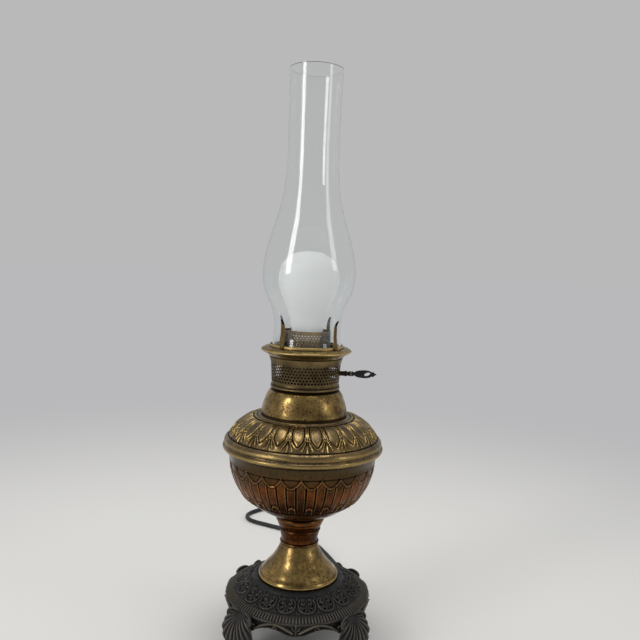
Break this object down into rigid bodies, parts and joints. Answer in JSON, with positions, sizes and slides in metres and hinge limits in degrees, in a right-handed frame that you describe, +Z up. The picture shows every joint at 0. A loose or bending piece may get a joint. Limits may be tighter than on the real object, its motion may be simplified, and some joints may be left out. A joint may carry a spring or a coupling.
{
  "type": "parlor lamp",
  "caption": "Old centre-draught oil lamp wired for an electric bulb: scrolled iron base, brass font, perforated burner with key switch, glass chimney, coiled cord with plug.",
  "frame": {"origin": "bottom centre of the base, on the table and on the lamp axis", "axes": "+Z up along the lamp axis, -Y towards the front of the picture, +X towards the switch key"},
  "size_m": [0.1593, 0.5098, 0.56],
  "materials": {
    "black_iron": "black paint or patina, semi-gloss",
    "polished_brass": "polished, mottled with age",
    "aged_brass": "aged, satin",
    "dark_brass": "dark patina",
    "steel": "plain, zinc plated",
    "black_plastic": "moulded, satin",
    "black_rubber": "satin",
    "paper_liner": "waxed fibre liner, dull",
    "frosted_glass": "frosted white",
    "clear_glass": "clear, thin, blown"
  },
  "bodies": {
    "lamp": {"base_casting": "black_iron", "pedestal_cone": "polished_brass", "stem_cup": "aged_brass", "font_bowl": "aged_brass", "font_shoulder": "polished_brass", "draft_tube": "dark_brass", "burner_dome": "polished_brass", "burner_ring": "dark_brass", "burner_basket": "dark_brass", "burner_deck": "dark_brass", "inner_screen": "dark_brass", "gallery_ring": "aged_brass", "prong_1": "aged_brass", "prong_rivet_1": "dark_brass", "prong_2": "aged_brass", "prong_rivet_2": "dark_brass", "prong_3": "aged_brass", "prong_rivet_3": "dark_brass", "prong_4": "aged_brass", "prong_rivet_4": "dark_brass", "socket_cap": "dark_brass", "socket_shell": "aged_brass", "socket_liner": "paper_liner", "socket_body": "black_plastic", "socket_screw_shell": "polished_brass", "socket_contact": "polished_brass", "terminal_screw_1": "steel", "terminal_screw_2": "steel", "threaded_pipe": "steel", "base_washer": "steel", "base_nut": "steel", "clamp_plate": "steel", "clamp_nut": "steel", "cord_bushing": "black_rubber", "pipe_wires": "black_rubber", "lamp_cord": "black_rubber", "cord_coil": "black_rubber", "cord_tie": "black_plastic", "plug_body": "black_plastic", "plug_blade_1": "polished_brass", "plug_blade_2": "polished_brass"},
    "chimney": {"chimney_glass": "clear_glass"},
    "bulb": {"bulb_glass": "frosted_glass", "bulb_screw_base": "steel", "bulb_insulator": "black_plastic", "bulb_contact": "steel"},
    "key": {"key_shaft": "dark_brass", "switch_key": "black_plastic"}
  },
  "joints": [
    {"name": "chimney_lift", "type": "slide", "parent": "lamp", "child": "chimney", "axis": [0, 0, 1], "range_m": [0, 0.12]},
    {"name": "bulb_unscrew", "type": "slide", "parent": "lamp", "child": "bulb", "axis": [0, 0, 1], "range_m": [0, 0.026]},
    {"name": "key_turn", "type": "hinge", "parent": "lamp", "child": "key", "pos_m": [0, 0, 0.2677], "axis": [1, 0, 0], "continuous": true}
  ]
}
